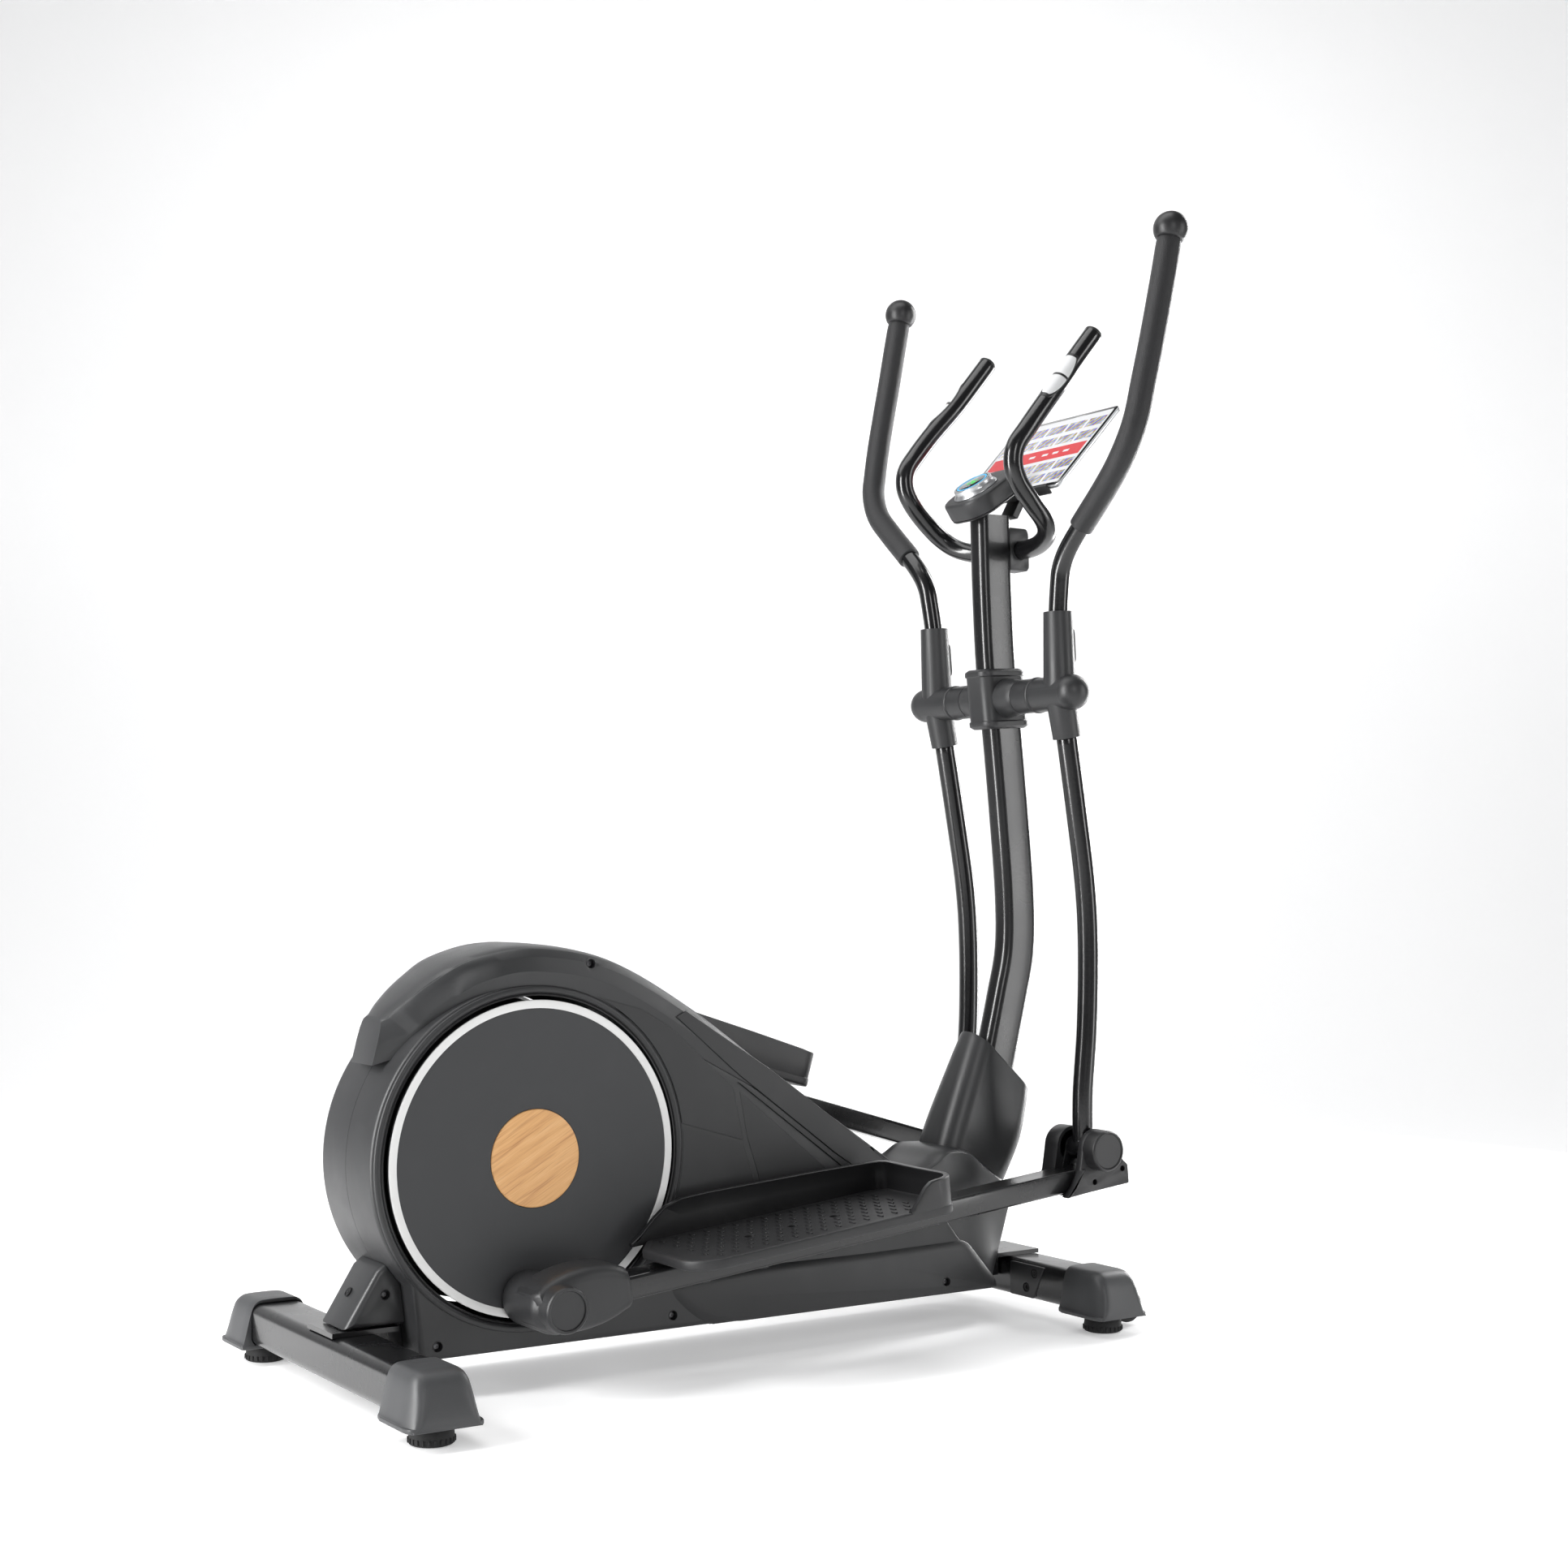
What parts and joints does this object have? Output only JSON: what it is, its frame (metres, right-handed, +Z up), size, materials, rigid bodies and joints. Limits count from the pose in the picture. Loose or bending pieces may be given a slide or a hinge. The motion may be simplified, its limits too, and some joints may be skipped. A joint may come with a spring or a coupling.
{
  "type": "elliptical trainer",
  "caption": "Front-linkage elliptical trainer: swing arms with pedal bars, crank discs, belt-driven flywheel, fixed pulse handlebar and dial console.",
  "frame": {"origin": "middle of the machine's bounding footprint, on the floor", "axes": "+X towards the mast and console, +Y to the user's left, +Z up"},
  "size_m": [1.2196, 0.6652, 1.5675],
  "materials": {
    "charcoal_plastic": "satin moulded",
    "grey_plastic": "satin moulded",
    "black_plastic": "fine texture",
    "black_paint": "gloss powder coat",
    "foam": "closed-cell foam",
    "rubber": "moulded",
    "bamboo": "oiled",
    "bare_steel": "ground",
    "cast_iron": "turned rim",
    "aluminium": "brushed",
    "glass_black": "glossy"
  },
  "bodies": {
    "frame": {"main_frame": "black_paint", "rear_stabilizer": "black_paint", "front_stabilizer": "black_paint", "rear_end_cap_right": "charcoal_plastic", "rear_end_cap_left": "charcoal_plastic", "front_end_cap_right": "charcoal_plastic", "front_end_cap_left": "charcoal_plastic", "right_side_cover": "charcoal_plastic", "left_side_cover": "charcoal_plastic", "top_cover": "grey_plastic", "rear_neck_cover": "grey_plastic", "mast_boot_lower": "grey_plastic", "mast_boot_upper": "grey_plastic", "mast": "black_paint", "mast_collar": "charcoal_plastic", "crossbar_axle": "bare_steel", "fixed_handlebar": "black_paint", "handlebar_clamp": "charcoal_plastic", "right_pulse_sensor": "aluminium", "left_pulse_sensor": "aluminium", "console_housing": "charcoal_plastic", "console_base": "black_plastic", "console_display": "glass_black", "tablet_rest": "black_plastic", "drive_belt": "rubber"},
    "crank": {"crank_axle": "bare_steel", "drive_pulley": "black_plastic", "right_crank_disc": "charcoal_plastic", "left_crank_disc": "charcoal_plastic", "right_hub_cover": "bamboo", "left_hub_cover": "bamboo"},
    "flywheel": {"flywheel": "cast_iron", "flywheel_shaft": "bare_steel"},
    "magnets": {"magnet_bracket": "bare_steel"},
    "dial": {"resistance_dial": "aluminium"},
    "tablet": {"tablet": "glass_black"},
    "right_arm": {"right_arm_hub": "charcoal_plastic", "right_handle_tube": "black_paint", "right_handle_grip": "foam", "right_grip_cap": "black_plastic", "right_swing_tube": "black_paint"},
    "right_pedal": {"right_pedal_bar": "black_paint", "right_crank_boss": "charcoal_plastic", "right_pivot_cover": "black_plastic", "right_foot_tray": "black_plastic"},
    "wheel_right": {"transport_wheel_right": "rubber"},
    "rear_foot_right": {"rear_foot_right": "rubber"},
    "front_foot_right": {"front_foot_right": "rubber"},
    "left_arm": {"left_arm_hub": "charcoal_plastic", "left_handle_tube": "black_paint", "left_handle_grip": "foam", "left_grip_cap": "black_plastic", "left_swing_tube": "black_paint"},
    "left_pedal": {"left_pedal_bar": "black_paint", "left_crank_boss": "charcoal_plastic", "left_pivot_cover": "black_plastic", "left_foot_tray": "black_plastic"},
    "wheel_left": {"transport_wheel_left": "rubber"},
    "rear_foot_left": {"rear_foot_left": "rubber"},
    "front_foot_left": {"front_foot_left": "rubber"}
  },
  "joints": [
    {"name": "crank_spin", "type": "hinge", "parent": "frame", "child": "crank", "pos_m": [-0.34171, 0, 0.2845], "axis": [0, 1, 0], "continuous": true},
    {"name": "flywheel_spin", "type": "hinge", "parent": "frame", "child": "flywheel", "pos_m": [-0.03171, 0, 0.215], "axis": [0, 1, 0], "continuous": true},
    {"name": "dial_turn", "type": "hinge", "parent": "frame", "child": "dial", "pos_m": [0.42679, 0, 1.2074], "axis": [-0.5736, 0, 0.8192], "range_deg": [0, 270]},
    {"name": "magnet_tilt", "type": "hinge", "parent": "frame", "child": "magnets", "pos_m": [0.05234, 0, 0.09931], "axis": [0, -1, 0], "range_deg": [0, 2.2]},
    {"name": "tablet_lift", "type": "slide", "parent": "frame", "child": "tablet", "axis": [0.682, 0, 0.7314], "range_m": [0, 0.2]},
    {"name": "right_swing", "type": "hinge", "parent": "frame", "child": "right_arm", "pos_m": [0.46489, 0, 0.8973], "axis": [0, 1, 0], "range_deg": [-14.2, 12.8]},
    {"name": "left_swing", "type": "hinge", "parent": "frame", "child": "left_arm", "pos_m": [0.46489, 0, 0.8973], "axis": [0, 1, 0], "range_deg": [-12.8, 14.2]},
    {"name": "right_bar_pivot", "type": "hinge", "parent": "right_arm", "child": "right_pedal", "pos_m": [0.50448, 0, 0.246], "axis": [0, 1, 0], "range_deg": [-12.8, 14.2]},
    {"name": "left_bar_pivot", "type": "hinge", "parent": "left_arm", "child": "left_pedal", "pos_m": [0.51946, 0, 0.24709], "axis": [0, 1, 0], "range_deg": [-14.2, 12.8]},
    {"name": "rear_foot_right_turn", "type": "hinge", "parent": "frame", "child": "rear_foot_right", "pos_m": [-0.56231, -0.259, 0], "axis": [0, 0, 1], "continuous": true},
    {"name": "rear_foot_left_turn", "type": "hinge", "parent": "frame", "child": "rear_foot_left", "pos_m": [-0.56231, 0.259, 0], "axis": [0, 0, 1], "continuous": true},
    {"name": "front_foot_right_turn", "type": "hinge", "parent": "frame", "child": "front_foot_right", "pos_m": [0.48029, -0.212, 0], "axis": [0, 0, 1], "continuous": true},
    {"name": "front_foot_left_turn", "type": "hinge", "parent": "frame", "child": "front_foot_left", "pos_m": [0.48029, 0.212, 0], "axis": [0, 0, 1], "continuous": true},
    {"name": "wheel_right_spin", "type": "hinge", "parent": "frame", "child": "wheel_right", "pos_m": [0.53729, -0.195, 0.0265], "axis": [0, 1, 0], "continuous": true},
    {"name": "wheel_left_spin", "type": "hinge", "parent": "frame", "child": "wheel_left", "pos_m": [0.53729, 0.195, 0.0265], "axis": [0, 1, 0], "continuous": true}
  ],
  "couplings": [
    {"joint": "flywheel_spin", "follows": "crank_spin", "ratio": 5.9091},
    {"joint": "magnet_tilt", "follows": "dial_turn", "ratio": 0.008148},
    {"joint": "left_swing", "follows": "right_swing", "ratio": -1},
    {"joint": "right_bar_pivot", "follows": "right_swing", "ratio": -1},
    {"joint": "left_bar_pivot", "follows": "right_swing", "ratio": 1}
  ]
}
